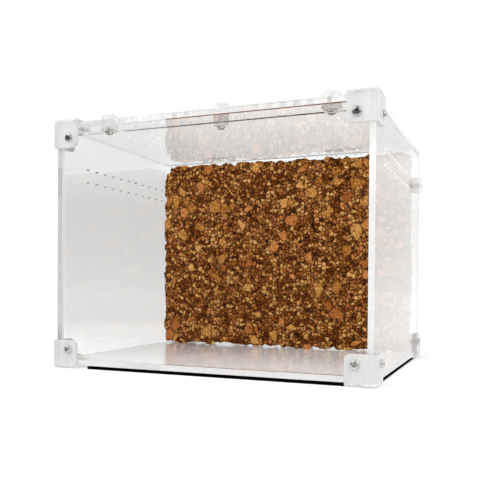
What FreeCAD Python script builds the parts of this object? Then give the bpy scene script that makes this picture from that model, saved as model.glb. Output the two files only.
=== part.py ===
import FreeCAD, Part
import math
import os
import re

import Sketcher
from FreeCAD import Placement, Rotation, Vector

# Clear acrylic insect habitat. Printed corner brackets screw the panels together at the floor and at the
# front of the top. A hinged and vented lid lies between two fixed top rails, of which the rear one is
# cemented on, and a sheet of cork granulate stands in front of the back panel.
# Millimetres. X runs to the right, Y to the back and Z up. The origin is the middle of the footprint, on
# the surface that the bottom flanges of the brackets stand on.

# Shares of a button head's radius and height: its flat crown, its straight rim and a point on its arc.
HEAD_CROWN = 0.45
HEAD_RIM = 0.25
HEAD_BULGE = (0.86, 0.74)
# The largest rounding of a knob's top, as a share of its radius.
KNOB_DOME = 0.75
# Lengths that differ by less than this are the same, when edges are picked.
TINY = 1e-6

DOC = FreeCAD.newDocument("InsectHabitat")
SHEET = DOC.addObject("Spreadsheet::Sheet", "Sizes")

# Driving dimensions: alias, value, meaning.
SIZES = (
    ("case_width", 300, "acrylic box, outside, left to right"),
    ("case_depth", 240, "acrylic box, outside, front to back"),
    ("case_height", 225, "acrylic box, outside, bottom to top"),
    ("wall", 5, "thickness of every acrylic panel"),
    ("sheet_gap", 0.1, "air film between two panels that meet"),
    ("front_rail_depth", 30, "front to back size of the fixed top rail at the front"),
    ("rear_rail_depth", 44, "front to back size of the fixed top rail over the cork"),
    ("seam_gap", 0.6, "gap between the lid and each rail"),
    ("lid_lift", 0.2, "rise of the lid above the rails, which clears the side panels"),
    ("vent_radius", 0.9, "radius of a vent hole"),
    ("lid_vent_columns", 17, "vent holes along the front edge of the lid's ring"),
    ("lid_vent_rows", 11, "vent holes along the side edge of the lid's ring"),
    ("lid_vent_side", 43.5, "outermost lid vents, from the side of the case"),
    ("lid_vent_front", 21.4, "first row of lid vents, from the lid's front edge"),
    ("lid_vent_rear", 14.9, "last row of lid vents, from the lid's rear edge"),
    ("side_vent_columns", 11, "vent holes in one row of a side panel"),
    ("side_vent_pitch", 14.1, "distance between vents in a row of a side panel"),
    ("side_vent_row_gap", 12.5, "distance between the two rows of a side panel"),
    ("side_vent_front", 41.5, "first vent of a row, from the front of the case"),
    ("side_vent_top", 36.5, "upper row of vents, from the top of the case"),
    ("flange", 3.0, "thickness of a bracket flange"),
    ("flange_reach", 23, "reach of a flange over its panel, from the corner"),
    ("flange_round", 5, "radius of a flange's free corner"),
    ("bracket_corner", 2.4, "rounding of the three edges where a bracket's flanges meet outside"),
    ("bracket_edge", 0.8, "rounding of a flange's rim"),
    ("screw_inset", 14.5, "bracket screw, from both edges of its panel"),
    ("shank_radius", 2, "M4 screw"),
    ("shank_gap", 0.2, "radial clearance of a screw in its hole"),
    ("head_radius", 3.8, "M4 button head"),
    ("head_height", 2.2, "M4 button head"),
    ("socket_flats", 2.5, "hexagon socket, across the flats"),
    ("socket_depth", 1.3, "hexagon socket"),
    ("sunk_head_radius", 3.9, "M4 countersunk head"),
    ("sunk_head_height", 2.2, "M4 countersunk head"),
    ("sunk_recess", 0.2, "countersunk head, below the face of its flange"),
    ("nut_flats", 7, "M4 nut, across the flats"),
    ("nut_height", 3.2, "M4 nut"),
    ("tip_past_nut", 0.8, "length of a screw beyond its nut"),
    ("knob_radius", 8.6, "turn button and stop knob"),
    ("button_height", 11.2, "turn button"),
    ("button_edge", 4.6, "straight part of a turn button's side, below its dome"),
    ("button_cover", 2, "plastic over the end of a turn button's screw"),
    ("button_boss_radius", 4.6, "boss that a turn button stands on"),
    ("button_boss_height", 0.6, "lifts the button's rim clear of the lid"),
    ("button_side", 41.5, "turn button's screw, from the side of the case"),
    ("button_setback", 6.5, "turn button's screw, in front of the rail's rear edge"),
    ("button_flat", 5.8, "turn button's flat, from its screw"),
    ("turn_gap", 0.1, "clearance of a turning piece above its seat"),
    ("bore_gap", 0.05, "radial running clearance of a knob on its screw"),
    ("washer_radius", 6.8, "washer of a turn button"),
    ("washer", 1.0, "thickness of a washer"),
    ("lid_knob_radius", 7.0, "lid knob"),
    ("lid_knob_height", 16.7, "lid knob"),
    ("lid_knob_edge", 11.7, "straight part of the lid knob's side, below its dome"),
    ("lid_knob_cover", 3, "plastic over the end of the lid knob's screw"),
    ("lid_knob_inset", 9.3, "lid knob's screw, from the front edge of the lid"),
    ("stop_drop", 40, "stop screws, below the top of the acrylic box"),
    ("stop_knob_height", 6.0, "stop knob, along its screw"),
    ("stop_knob_edge", 3.6, "straight part of a stop knob's side"),
    ("stop_cover", 1, "plastic over the end of a stop's screw"),
    ("stop_disc", 2.4, "thickness of an inner stop disc"),
    ("cork", 20, "thickness of the cork sheet"),
    ("cork_front", 186, "front face of the cork, from the front of the case"),
    ("cork_side_gap", 0.4, "cork to each side panel"),
    ("cork_top_gap", 2.5, "cork to the underside of the top"),
    ("cork_round", 6, "rounding of the cork's upper corners"),
    ("stop_gap", 0.3, "cork to the rim of a stop disc"),
    ("hinge_side", 75, "middle of each hinge, from the side of the case"),
    ("hinge_width", 36, "hinge, along its pin"),
    ("knuckle_width", 12, "middle knuckle, which belongs to the lid's leaf"),
    ("knuckle_radius", 3.0, "hinge knuckle"),
    ("knuckle_gap", 0.3, "between knuckles, and from a knuckle to whatever it turns past"),
    ("hinge_rise", 3.3, "axis of the hinge pin above the rail"),
    ("pin_radius", 1.25, "hinge pin"),
    ("pin_head_radius", 2.1, "hinge pin head"),
    ("pin_head_height", 0.8, "hinge pin head"),
    ("leaf", 2.0, "thickness of a hinge leaf"),
    ("leaf_reach", 14, "edge of a hinge leaf, from the pin"),
    ("leaf_screw_reach", 9, "hinge screw, from the pin"),
    ("leaf_screw_side", 11, "hinge screw, from the middle of the hinge"),
    ("leaf_shank_radius", 1.5, "M3 hinge screw"),
    ("leaf_head_radius", 2.9, "M3 countersunk head"),
    ("leaf_head_height", 1.5, "M3 countersunk head"),
    ("leaf_screw_length", 6.0, "M3 hinge screw, with its head"),
    ("thread_gap", 0.05, "radial clearance of a tapped hole"),
    ("lap", 1, "how far a web runs into its plate, and a cut past the face that it starts from"),
)

for row, (alias, value, meaning) in enumerate(SIZES, start=1):
    SHEET.set(f"A{row}", meaning)
    SHEET.set(f"B{row}", str(value))
    SHEET.setAlias(f"B{row}", alias)
DOC.recompute()

ALIASES = {alias for alias, value, meaning in SIZES}
SUBPARTS = []

# Places that several pieces share, as expressions on the sheet.
PANEL_BASE = "flange"
PANEL_TOP = "(flange + case_height)"
HALF_WIDTH = "case_width / 2"
HALF_DEPTH = "case_depth / 2"
SCREW_X = f"({HALF_WIDTH} - screw_inset)"
SCREW_Y = f"({HALF_DEPTH} - screw_inset)"
SCREW_Z = "(case_height / 2 - screw_inset)"
SHANK_HOLE = "(shank_radius + shank_gap)"
BORE = "(shank_radius + bore_gap)"
TAPPED_HOLE = "(leaf_shank_radius + thread_gap)"
SIDE_HEIGHT = "(case_height - 2 * wall - 2 * sheet_gap)"
LID_DEPTH = "(case_depth - front_rail_depth - rear_rail_depth - 2 * seam_gap)"
LID_Y = "((front_rail_depth - rear_rail_depth) / 2)"
BUTTON_X = f"({HALF_WIDTH} - button_side)"
BUTTON_Y = f"({HALF_DEPTH} - front_rail_depth + button_setback)"
KNOB_Y = f"({LID_DEPTH} / 2 - lid_knob_inset)"
HINGE_X = f"({HALF_WIDTH} - hinge_side)"
HINGE_Y = f"({HALF_DEPTH} - rear_rail_depth - seam_gap / 2)"
HINGE_Z = f"({PANEL_TOP} + hinge_rise)"
STOP_Y = f"(cork_front + cork + stop_gap + knob_radius - {HALF_DEPTH})"
STOP_Z = f"({PANEL_TOP} - stop_drop)"


# ---- Expressions ---------------------------------------------------------------------------------------

def linked(expression):
    """The expression with each size written as a reference to the sheet."""
    def written(word):
        return f"Sizes.{word.group()}" if word.group() in ALIASES else word.group()

    return re.sub(r"[a-z_]+", written, str(expression))


def number(expression):
    """The expression's present value in millimetres."""
    return float(SHEET.evalExpression(str(expression)))


def bind(thing, **properties):
    """Ties properties of an object to expressions on the sheet."""
    for name, expression in properties.items():
        thing.setExpression(name, linked(expression))


def seat(thing, x=0, y=0, z=0, turn=None):
    """Places an object at expressions of the sheet, turned by a fixed rotation."""
    thing.Placement = Placement(Vector(number(x), number(y), number(z)), turn or Rotation())
    for axis, expression in zip("xyz", (x, y, z)):
        thing.setExpression(f"Placement.Base.{axis}", linked(expression))


# ---- Bodies, sketches and features -----------------------------------------------------------------------

def new_body(label):
    """A body that becomes one sub-part."""
    body = DOC.addObject("PartDesign::Body", label)
    body.Label = label
    SUBPARTS.append(body)
    return body


def new_sketch(body, name, plane):
    """A sketch on one of the body's own origin planes."""
    sketch = body.newObject("Sketcher::SketchObject", name)
    support = next(item for item in body.Origin.OriginFeatures if item.Role == plane)
    sketch.AttachmentSupport = (support, [""])
    sketch.MapMode = "FlatFace"
    return sketch


def constrain(sketch, expression, kind, *where):
    """One dimension of a sketch, tied to the sheet."""
    index = sketch.addConstraint(Sketcher.Constraint(kind, *where, number(expression)))
    sketch.setExpression(f"Constraints[{index}]", linked(expression))


def centred_rectangle(sketch, width, height):
    """A rectangle about the sketch's origin."""
    half_x = number(width) / 2
    half_y = number(height) / 2
    corners = [Vector(x, y, 0) for x, y in
               ((-half_x, -half_y), (half_x, -half_y), (half_x, half_y), (-half_x, half_y))]
    for start in range(4):
        sketch.addGeometry(Part.LineSegment(corners[start], corners[(start + 1) % 4]), False)
    for side in range(4):
        sketch.addConstraint(Sketcher.Constraint("Coincident", side, 2, (side + 1) % 4, 1))
    for side, direction in enumerate(("Horizontal", "Vertical", "Horizontal", "Vertical")):
        sketch.addConstraint(Sketcher.Constraint(direction, side))
    sketch.addConstraint(Sketcher.Constraint("Symmetric", 0, 1, 1, 2, -1, 1))
    constrain(sketch, width, "DistanceX", 0, 1, 0, 2)
    constrain(sketch, height, "DistanceY", 1, 1, 1, 2)


def circle(sketch, x, y, radius, side_x=1, side_y=1):
    """A circle at side_x * x, side_y * y, where x and y are expressions that stay positive."""
    centre = Vector(side_x * number(x), side_y * number(y), 0)
    index = sketch.addGeometry(Part.Circle(centre, Vector(0, 0, 1), number(radius)), False)
    constrain(sketch, radius, "Radius", index)
    for kind, side, expression in (("DistanceX", side_x, x), ("DistanceY", side_y, y)):
        if expression == 0:
            line = -2 if kind == "DistanceX" else -1
            sketch.addConstraint(Sketcher.Constraint("PointOnObject", index, 3, line))
        elif side > 0:
            constrain(sketch, expression, kind, -1, 1, index, 3)
        else:
            constrain(sketch, expression, kind, index, 3, -1, 1)


def pad(body, sketch, length, midplane=False):
    """Raises a sketch to a thickness."""
    feature = body.newObject("PartDesign::Pad", "Pad")
    feature.Profile = sketch
    feature.Midplane = midplane
    bind(feature, Length=length)
    return feature


def cut_through(body, sketch):
    """Cuts a sketch through the whole body, both ways from its plane."""
    feature = body.newObject("PartDesign::Pocket", "Holes")
    feature.Profile = sketch
    feature.Type = "ThroughAll"
    feature.Midplane = True
    return feature


def block(body, length, width, height, x=0, y=0, z=0, cut=False):
    """A box added to the body, or cut from it, from its lowest corner."""
    kind = "Subtractive" if cut else "Additive"
    feature = body.newObject(f"PartDesign::{kind}Box", "Block")
    bind(feature, Length=length, Width=width, Height=height)
    seat(feature, x, y, z)
    return feature


ALONG = {"x": Rotation(Vector(0, 1, 0), 90), "-x": Rotation(Vector(0, 1, 0), -90), "z": Rotation(),
         "-z": Rotation(Vector(1, 0, 0), 180)}


def rod(body, radius, height, x=0, y=0, z=0, along="z", cut=False):
    """A cylinder added to the body, or cut from it."""
    kind = "Subtractive" if cut else "Additive"
    feature = body.newObject(f"PartDesign::{kind}Cylinder", "Rod")
    bind(feature, Radius=radius, Height=height)
    seat(feature, x, y, z, ALONG[along])
    return feature


def countersink(body, wide, narrow, height, x=0, y=0, z=0, along="z"):
    """A conical seat, wide at its start."""
    feature = body.newObject("PartDesign::SubtractiveCone", "Countersink")
    bind(feature, Radius1=wide, Radius2=narrow, Height=height)
    seat(feature, x, y, z, ALONG[along])
    return feature


def edges(body, wanted):
    """Names of the edges of a body's last feature that pass a test."""
    DOC.recompute()
    shape = body.Tip.Shape
    return [f"Edge{index}" for index, edge in enumerate(shape.Edges, start=1) if wanted(edge)]


def round_edges(body, radius, wanted):
    """Rounds the edges that pass a test."""
    names = edges(body, wanted)
    base = body.Tip
    feature = body.newObject("PartDesign::Fillet", "Rounding")
    feature.Base = (base, names)
    bind(feature, Radius=radius)
    DOC.recompute()
    return feature


def highest(edge):
    """The greatest x, y and z of an edge."""
    return edge.BoundBox.XMax, edge.BoundBox.YMax, edge.BoundBox.ZMax


def at_height(height):
    """A test for edges that lie flat at one height."""
    return lambda edge: edge.BoundBox.ZLength < TINY and abs(edge.BoundBox.ZMin - height) < TINY


# ---- Panels -----------------------------------------------------------------------------------------------

FOUR_CORNERS = ((-1, -1), (1, -1), (-1, 1), (1, 1))


def plate(label, plane, width, height, x=0, y=0, z=0):
    """A flat acrylic panel, centred on its own origin and parallel to the given plane."""
    body = new_body(label)
    outline = new_sketch(body, "Outline", plane)
    centred_rectangle(outline, width, height)
    pad(body, outline, "wall", midplane=True)
    seat(body, x, y, z)
    return body


def screw_holes(body, plane, x, y, corners=FOUR_CORNERS):
    """Clearance holes for the bracket screws at some of the panel's corners."""
    sketch = new_sketch(body, "ScrewHoles", plane)
    for side_x, side_y in corners:
        circle(sketch, x, y, SHANK_HOLE, side_x, side_y)
    cut_through(body, sketch)


def vent_block(body, plane, corner, sides, spans, counts):
    """A grid of vent holes: the first hole, then a pattern in two directions."""
    sketch = new_sketch(body, "FirstVent", plane)
    circle(sketch, corner[0], corner[1], "vent_radius", *sides)
    first = cut_through(body, sketch)
    grid = body.newObject("PartDesign::LinearPattern", "VentGrid")
    grid.Originals = [first]
    grid.Direction = (sketch, ["H_Axis"])
    grid.Direction2 = (sketch, ["V_Axis"])
    grid.Reversed = sides[0] > 0
    grid.Reversed2 = sides[1] > 0
    bind(grid, Length=spans[0], Occurrences=counts[0], Length2=spans[1], Occurrences2=counts[1])
    body.Tip = grid


def floor_panel():
    """The floor reaches the outside of the case on all four sides, under the walls."""
    body = plate("floor_panel", "XY_Plane", "case_width", "case_depth", z=f"{PANEL_BASE} + wall / 2")
    screw_holes(body, "XY_Plane", SCREW_X, SCREW_Y)


def side_panel(label, side):
    """A side panel with two rows of vents in front of the cork. Its upper rear corner has no bracket."""
    body = plate(label, "YZ_Plane", "case_depth", SIDE_HEIGHT,
                 x=f"{side} * ({HALF_WIDTH} - wall / 2)", z=f"{PANEL_BASE} + case_height / 2")
    screw_holes(body, "YZ_Plane", SCREW_Y, SCREW_Z, FOUR_CORNERS[:3])
    vent_block(body, "YZ_Plane", (f"{HALF_DEPTH} - side_vent_front", "case_height / 2 - side_vent_top"),
               (-1, 1), ("side_vent_pitch * (side_vent_columns - 1)", "side_vent_row_gap"),
               ("side_vent_columns", 2))
    sketch = new_sketch(body, "StopHole", "YZ_Plane")
    circle(sketch, STOP_Y, "case_height / 2 - stop_drop", SHANK_HOLE)
    cut_through(body, sketch)


def end_panel(label, side):
    """The front or back panel, between the side panels and between floor and top.

    The back panel has brackets at its lower corners only.
    """
    body = plate(label, "XZ_Plane", "case_width - 2 * wall - 2 * sheet_gap", SIDE_HEIGHT,
                 y=f"{side} * ({HALF_DEPTH} - wall / 2)", z=f"{PANEL_BASE} + case_height / 2")
    screw_holes(body, "XZ_Plane", SCREW_X, SCREW_Z, FOUR_CORNERS if side < 0 else FOUR_CORNERS[:2])


def front_rail():
    """The fixed strip of the top at the front, which carries the turn buttons."""
    body = plate("front_rail", "XY_Plane", "case_width", "front_rail_depth",
                 y=f"(front_rail_depth / 2 - {HALF_DEPTH})", z=f"{PANEL_TOP} - wall / 2")
    screw_holes(body, "XY_Plane", SCREW_X, "(front_rail_depth / 2 - screw_inset)", FOUR_CORNERS[:2])
    sketch = new_sketch(body, "ButtonHoles", "XY_Plane")
    for side in (-1, 1):
        circle(sketch, BUTTON_X, "(front_rail_depth / 2 - button_setback)", BORE, side, 1)
    cut_through(body, sketch)


def rear_rail():
    """The strip of the top over the cork, cemented to the panels below it. It carries the hinges."""
    body = plate("rear_rail", "XY_Plane", "case_width", "rear_rail_depth",
                 y=f"({HALF_DEPTH} - rear_rail_depth / 2)", z=f"{PANEL_TOP} - wall / 2")
    leaf_screw_holes(body, "(rear_rail_depth / 2 + seam_gap / 2 - leaf_screw_reach)", -1)


def leaf_screw_holes(body, y, side_y):
    """Tapped holes for the hinge screws, two for each hinge."""
    sketch = new_sketch(body, "HingeHoles", "XY_Plane")
    for side_x in (-1, 1):
        for reach in (f"{HINGE_X} - leaf_screw_side", f"{HINGE_X} + leaf_screw_side"):
            circle(sketch, reach, y, TAPPED_HOLE, side_x, side_y)
    cut_through(body, sketch)


def lid_panel():
    """The lid fills the top between the rails, with a two-deep ring of vents."""
    body = plate("lid_panel", "XY_Plane", "case_width", LID_DEPTH, y=LID_Y,
                 z=f"{PANEL_TOP} - wall / 2 + lid_lift")
    leaf_screw_holes(body, f"({LID_DEPTH} / 2 + seam_gap / 2 - leaf_screw_reach)", 1)
    ring_x = f"({HALF_WIDTH} - lid_vent_side)"
    ring_front = f"({LID_DEPTH} / 2 - lid_vent_front)"
    ring_rear = f"({LID_DEPTH} / 2 - lid_vent_rear)"
    pitch_x = f"(2 * {ring_x} / (lid_vent_columns - 1))"
    pitch_y = f"(({ring_front} + {ring_rear}) / (lid_vent_rows - 1))"
    for end, ring_end in ((-1, ring_front), (1, ring_rear)):
        vent_block(body, "XY_Plane", (ring_x, ring_end), (-1, end), (f"2 * {ring_x}", pitch_y),
                   ("lid_vent_columns", 2))
    for side in (-1, 1):
        vent_block(body, "XY_Plane", (ring_x, f"{ring_rear} - 2 * {pitch_y}"), (side, 1),
                   (pitch_x, f"{ring_front} + {ring_rear} - 4 * {pitch_y}"), (2, "lid_vent_rows - 4"))
    sketch = new_sketch(body, "KnobHole", "XY_Plane")
    circle(sketch, 0, KNOB_Y, BORE, 1, -1)
    cut_through(body, sketch)


# ---- Corner brackets ----------------------------------------------------------------------------------------

QUARTER_TURNS = {(-1, -1): 0, (1, -1): 90, (1, 1): 180, (-1, 1): 270}

# The corners that have a bracket: left or right, front or rear, and whether it is at the top.
BRACKETS = ((-1, -1, False), (1, -1, False), (-1, 1, False), (1, 1, False), (-1, -1, True), (1, -1, True))


def corner_bracket(label, side_x, side_y, top):
    """Three square flanges that meet in a corner, one screw hole each.

    It is drawn with its outer corner at its own origin and its flanges on the three origin planes, which
    suits the front left corner of the floor. The other corners take it turned about the vertical, and a
    top corner takes it turned over first, which swaps its two upright flanges.
    """
    body = new_body(label)
    size = "(flange + flange_reach)"
    hole = "(flange + screw_inset)"
    block(body, size, size, size)
    block(body, size, size, size, "flange", "flange", "flange", cut=True)
    for plane in ("XY_Plane", "XZ_Plane", "YZ_Plane"):
        sketch = new_sketch(body, "ScrewHole", plane)
        circle(sketch, hole, hole, SHANK_HOLE)
        cut_through(body, sketch)
    far = number(size)
    thickness = number("flange")

    def free_corner(edge):
        spans = (edge.BoundBox.XLength, edge.BoundBox.YLength, edge.BoundBox.ZLength)
        at_far = sum(abs(value - far) < TINY for value in highest(edge))
        return at_far == 2 and abs(max(spans) - thickness) < TINY

    def outer_corner(edge):
        return sum(value < TINY for value in highest(edge)) == 2

    def rim(edge):
        return any(value < TINY for value in highest(edge)) and not edge.isClosed() and not along_corner(edge)

    def along_corner(edge):
        lowest = (edge.BoundBox.XMin, edge.BoundBox.YMin, edge.BoundBox.ZMin)
        corner = number("bracket_corner")
        beside = sum(abs(value - corner) < TINY for value in lowest) >= 1
        return beside and sum(abs(value - corner) < TINY for value in highest(edge)) >= 1

    round_edges(body, "flange_round", free_corner)
    round_edges(body, "bracket_corner", outer_corner)
    if not top:
        countersink(body, "(sunk_head_radius + shank_gap)", SHANK_HOLE, "sunk_head_height",
                    hole, hole, "sunk_recess")
        rod(body, "(sunk_head_radius + shank_gap)", "sunk_recess", hole, hole, 0, cut=True)
    round_edges(body, "bracket_edge", rim)
    turn = QUARTER_TURNS[side_x, side_y]
    attitude = Rotation(Vector(0, 0, 1), turn)
    if top:
        attitude = Rotation(Vector(0, 0, 1), turn + 90).multiply(Rotation(Vector(1, 0, 0), 180))
    seat(body, f"{side_x} * ({HALF_WIDTH} + flange)", f"{side_y} * ({HALF_DEPTH} + flange)",
         f"{PANEL_TOP} + flange" if top else 0, attitude)


# ---- Screws and nuts ----------------------------------------------------------------------------------------

def hexagon(flats, height):
    """A flat hexagonal face at a height, by the distance across its flats."""
    radius = number(flats) / math.sqrt(3)
    turns = [math.radians(60 * step) for step in range(7)]
    return Part.Face(Part.makePolygon([Vector(radius * math.cos(turn), radius * math.sin(turn), height)
                                       for turn in turns]))


def button_screw(length):
    """A button-head screw: the underside of its head at the origin, its shank along -Z."""
    head_radius = number("head_radius")
    head_height = number("head_height")
    crown = head_radius * HEAD_CROWN
    rim = head_height * HEAD_RIM
    shank = number("shank_radius")
    bulge = Vector(head_radius * HEAD_BULGE[0], 0, head_height * HEAD_BULGE[1])
    arc = Part.Arc(Vector(head_radius, 0, rim), bulge, Vector(crown, 0, head_height)).toShape()
    points = [Vector(crown, 0, head_height), Vector(0, 0, head_height), Vector(0, 0, -length),
              Vector(shank, 0, -length), Vector(shank, 0, 0), Vector(head_radius, 0, 0),
              Vector(head_radius, 0, rim)]
    lines = [Part.makeLine(start, end) for start, end in zip(points, points[1:])]
    profile = Part.Face(Part.Wire(Part.sortEdges([arc] + lines)[0]))
    solid = profile.revolve(Vector(), Vector(0, 0, 1), 360)
    socket = hexagon("socket_flats", head_height - number("socket_depth"))
    return solid.cut(socket.extrude(Vector(0, 0, number("socket_depth + lap"))))


def sunk_screw(length, shank, head_radius, head_height):
    """A countersunk screw: the face of its head at the origin, its shank along -Z."""
    cone = Part.makeCone(shank, head_radius, head_height, Vector(0, 0, -head_height))
    return cone.fuse(Part.makeCylinder(shank, length, Vector(0, 0, -length))).removeSplitter()


def facing(direction):
    """The rotation that turns +Z to a direction."""
    return Rotation(Vector(0, 0, 1), Vector(*direction))


def group(label, shape, places):
    """Copies of one shape, kept as separate solids of a single sub-part."""
    copies = []
    for position, direction in places:
        copy = shape.copy()
        copy.Placement = Placement(Vector(*position), facing(direction))
        copies.append(copy)
    feature = DOC.addObject("Part::Feature", label)
    feature.Label = label
    feature.Shape = Part.makeCompound(copies) if len(copies) > 1 else copies[0]
    SUBPARTS.append(feature)
    return feature


def flange_faces():
    """Point and outward direction of each bracket screw on the panels' outside: three for each bracket."""
    x = number(SCREW_X)
    y = number(SCREW_Y)
    faces = []
    for side_x, side_y, top in BRACKETS:
        level = number(PANEL_TOP if top else PANEL_BASE)
        height = number(f"{PANEL_TOP} - screw_inset" if top else f"{PANEL_BASE} + screw_inset")
        faces.append(((side_x * x, side_y * y, level), (0, 0, 1 if top else -1)))
        faces.append(((side_x * x, side_y * number(HALF_DEPTH), height), (0, side_y, 0)))
        faces.append(((side_x * number(HALF_WIDTH), side_y * y, height), (side_x, 0, 0)))
    return faces


def shifted(position, direction, distance):
    """A point moved along a direction."""
    return tuple(place + distance * part for place, part in zip(position, direction))


def bracket_fasteners():
    """The screws of the brackets, and a nut inside the panel for each."""
    flange = number("flange")
    wall = number("wall")
    grip = number("flange + wall + nut_height + tip_past_nut")
    recess = number("sunk_recess")
    faces = flange_faces()
    outer = [(shifted(place, way, flange), way) for place, way in faces if way != (0, 0, -1)]
    under = [(shifted(place, way, flange - recess), way) for place, way in faces if way == (0, 0, -1)]
    group("flange_screws", button_screw(grip), outer)
    group("base_screws", sunk_screw(grip - recess, number("shank_radius"), number("sunk_head_radius"),
                                    number("sunk_head_height")), under)
    master = hex_nut()
    group("bracket_nuts", master, [(shifted(place, way, -wall - number("nut_height")), way)
                                   for place, way in faces])


def hex_nut():
    """An M4 nut that stands on the origin plane, with a slight clearance on its screw."""
    height = number("nut_height")
    prism = hexagon("nut_flats", 0).extrude(Vector(0, 0, height))
    return prism.cut(Part.makeCylinder(number(BORE), height))


# ---- Knobs --------------------------------------------------------------------------------------------------

def domed_knob(label, radius, height, edge):
    """A round knob with a domed top. It stands on its own origin."""
    body = new_body(label)
    rod(body, radius, height)
    round_edges(body, f"min({radius} * {KNOB_DOME}; {height} - {edge})", at_height(number(height)))
    return body


def bore(body, height):
    """The bore that runs on the screw."""
    rod(body, BORE, height, cut=True)


def turn_button(side_name, side):
    """A turn button on the front rail. Its flat faces the lid at rest; half a turn brings its rim over it."""
    knob = domed_knob(f"{side_name}_button_knob", "knob_radius", "button_height", "button_edge")
    through = "(button_height + lap)"
    block(knob, "2 * knob_radius", "knob_radius", through, "0 - knob_radius", "button_flat", 0, cut=True)
    rim = new_sketch(knob, "RimUnderside", "XY_Plane")
    circle(rim, 0, 0, "(knob_radius + lap)")
    circle(rim, 0, 0, "button_boss_radius")
    step = knob.newObject("PartDesign::Pocket", "RimStep")
    step.Profile = rim
    step.Reversed = True
    bind(step, Length="button_boss_height")
    bore(knob, through)
    x = f"{side} * {BUTTON_X}"
    y = f"0 - {BUTTON_Y}"
    seat(knob, x, y, f"{PANEL_TOP} + turn_gap")
    washer(f"{side_name}_button_washer", "washer_radius", x, y, f"{PANEL_TOP} - wall - turn_gap - washer")
    length = number("washer + 2 * turn_gap + wall + button_height - button_cover")
    place = (number(x), number(y), number(f"{PANEL_TOP} - wall - turn_gap - washer"))
    group(f"{side_name}_button_screw", button_screw(length), [(place, (0, 0, -1))])


def washer(label, radius, x, y, z):
    """A plain round washer."""
    body = new_body(label)
    rod(body, radius, "washer")
    bore(body, "washer")
    seat(body, x, y, z)


def lid_knob():
    """The knob that lifts the lid, fixed by a screw from below."""
    knob = domed_knob("lid_knob", "lid_knob_radius", "lid_knob_height", "lid_knob_edge")
    bore(knob, "(lid_knob_height + lap)")
    y = f"{LID_Y} - {KNOB_Y}"
    top = f"{PANEL_TOP} + lid_lift"
    seat(knob, 0, y, top)
    washer("lid_knob_washer", "lid_knob_radius", 0, y, f"{top} - wall - washer")
    length = number("washer + wall + lid_knob_height - lid_knob_cover")
    place = (0, number(y), number(f"{top} - wall - washer"))
    group("lid_knob_screw", button_screw(length), [(place, (0, 0, -1))])


def cork_stop(side_name, side):
    """A stop for the cork: a disc inside the side panel, its screw, and a thumb knob outside."""
    along = "x" if side > 0 else "-x"
    outside = f"{side} * {HALF_WIDTH}"
    inside = f"{side} * ({HALF_WIDTH} - wall - stop_disc)"
    disc = new_body(f"{side_name}_stop_disc")
    rod(disc, "knob_radius", "stop_disc")
    bore(disc, "stop_disc")
    seat(disc, inside, STOP_Y, STOP_Z, ALONG[along])
    place = (number(inside), number(STOP_Y), number(STOP_Z))
    length = number("stop_disc + wall + turn_gap + stop_knob_height - stop_cover")
    group(f"{side_name}_stop_screw", button_screw(length), [(place, (-side, 0, 0))])
    knob = domed_knob(f"{side_name}_stop_knob", "knob_radius", "stop_knob_height", "stop_knob_edge")
    bore(knob, "(stop_knob_height + lap)")
    seat(knob, f"{outside} + {side} * turn_gap", STOP_Y, STOP_Z, ALONG[along])


# ---- Cork and hinges ------------------------------------------------------------------------------

def cork_wall():
    """The cork sheet stands on the floor panel and leans on the two stop discs."""
    body = new_body("cork_wall")
    width = "(case_width - 2 * (wall + cork_side_gap))"
    height = "(case_height - 2 * wall - cork_top_gap)"
    block(body, width, "cork", height)
    far = number(height)

    def upper_corner(edge):
        box = edge.BoundBox
        return box.XLength < TINY and abs(box.YLength - number("cork")) < TINY and abs(box.ZMax - far) < TINY

    round_edges(body, "cork_round", upper_corner)
    seat(body, f"0 - {width} / 2", f"cork_front - {HALF_DEPTH}", f"{PANEL_BASE} + wall")


def hinge_leaf(label, side, fixed):
    """A hinge leaf, drawn about the pin's axis, with its plate on the +Y side.

    The rail's leaf has the two outer knuckles and the lid's leaf the middle one. Each knuckle joins its
    plate by a web, and the plate starts clear of the other leaf's knuckles.
    """
    body = new_body(label)
    lift = "(hinge_rise - lid_lift)" if not fixed else "hinge_rise"
    clear = "(knuckle_radius + knuckle_gap)"
    block(body, "hinge_width", f"leaf_reach - {clear}", "leaf",
          "0 - hinge_width / 2", clear, f"0 - {lift}")
    outer_width = "((hinge_width - knuckle_width) / 2 - knuckle_gap)"
    spans = (("0 - hinge_width / 2", outer_width), (f"hinge_width / 2 - {outer_width}", outer_width))
    if not fixed:
        spans = (("0 - knuckle_width / 2", "knuckle_width"),)
    for start, width in spans:
        block(body, width, f"{clear} + lap", "leaf", start, 0, f"0 - {lift}")
        rod(body, "knuckle_radius", width, start, along="x")
    rod(body, "pin_radius + bore_gap", "hinge_width + 2 * lap", "0 - hinge_width / 2 - lap",
        along="x", cut=True)
    for way in (-1, 1):
        x = f"{way} * leaf_screw_side"
        rod(body, TAPPED_HOLE, "leaf + 2 * lap", x, "leaf_screw_reach", f"0 - {lift} - lap", cut=True)
        countersink(body, "(leaf_head_radius + thread_gap)", TAPPED_HOLE, "leaf_head_height",
                    x, "leaf_screw_reach", f"leaf - {lift}", along="-z")
    turn = Rotation() if fixed else Rotation(Vector(0, 0, 1), 180)
    seat(body, f"{side} * {HINGE_X}", HINGE_Y, HINGE_Z, turn)


def hinge_pin(label, side):
    """A headed pin through all three knuckles, its other end swaged to a second head."""
    body = new_body(label)
    rod(body, "pin_radius", "hinge_width + 2 * knuckle_gap", "0 - hinge_width / 2 - knuckle_gap", along="x")
    for start in ("0 - hinge_width / 2 - knuckle_gap - pin_head_height", "hinge_width / 2 + knuckle_gap"):
        rod(body, "pin_head_radius", "pin_head_height", start, along="x")
    seat(body, f"{side} * {HINGE_X}", HINGE_Y, HINGE_Z)


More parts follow.
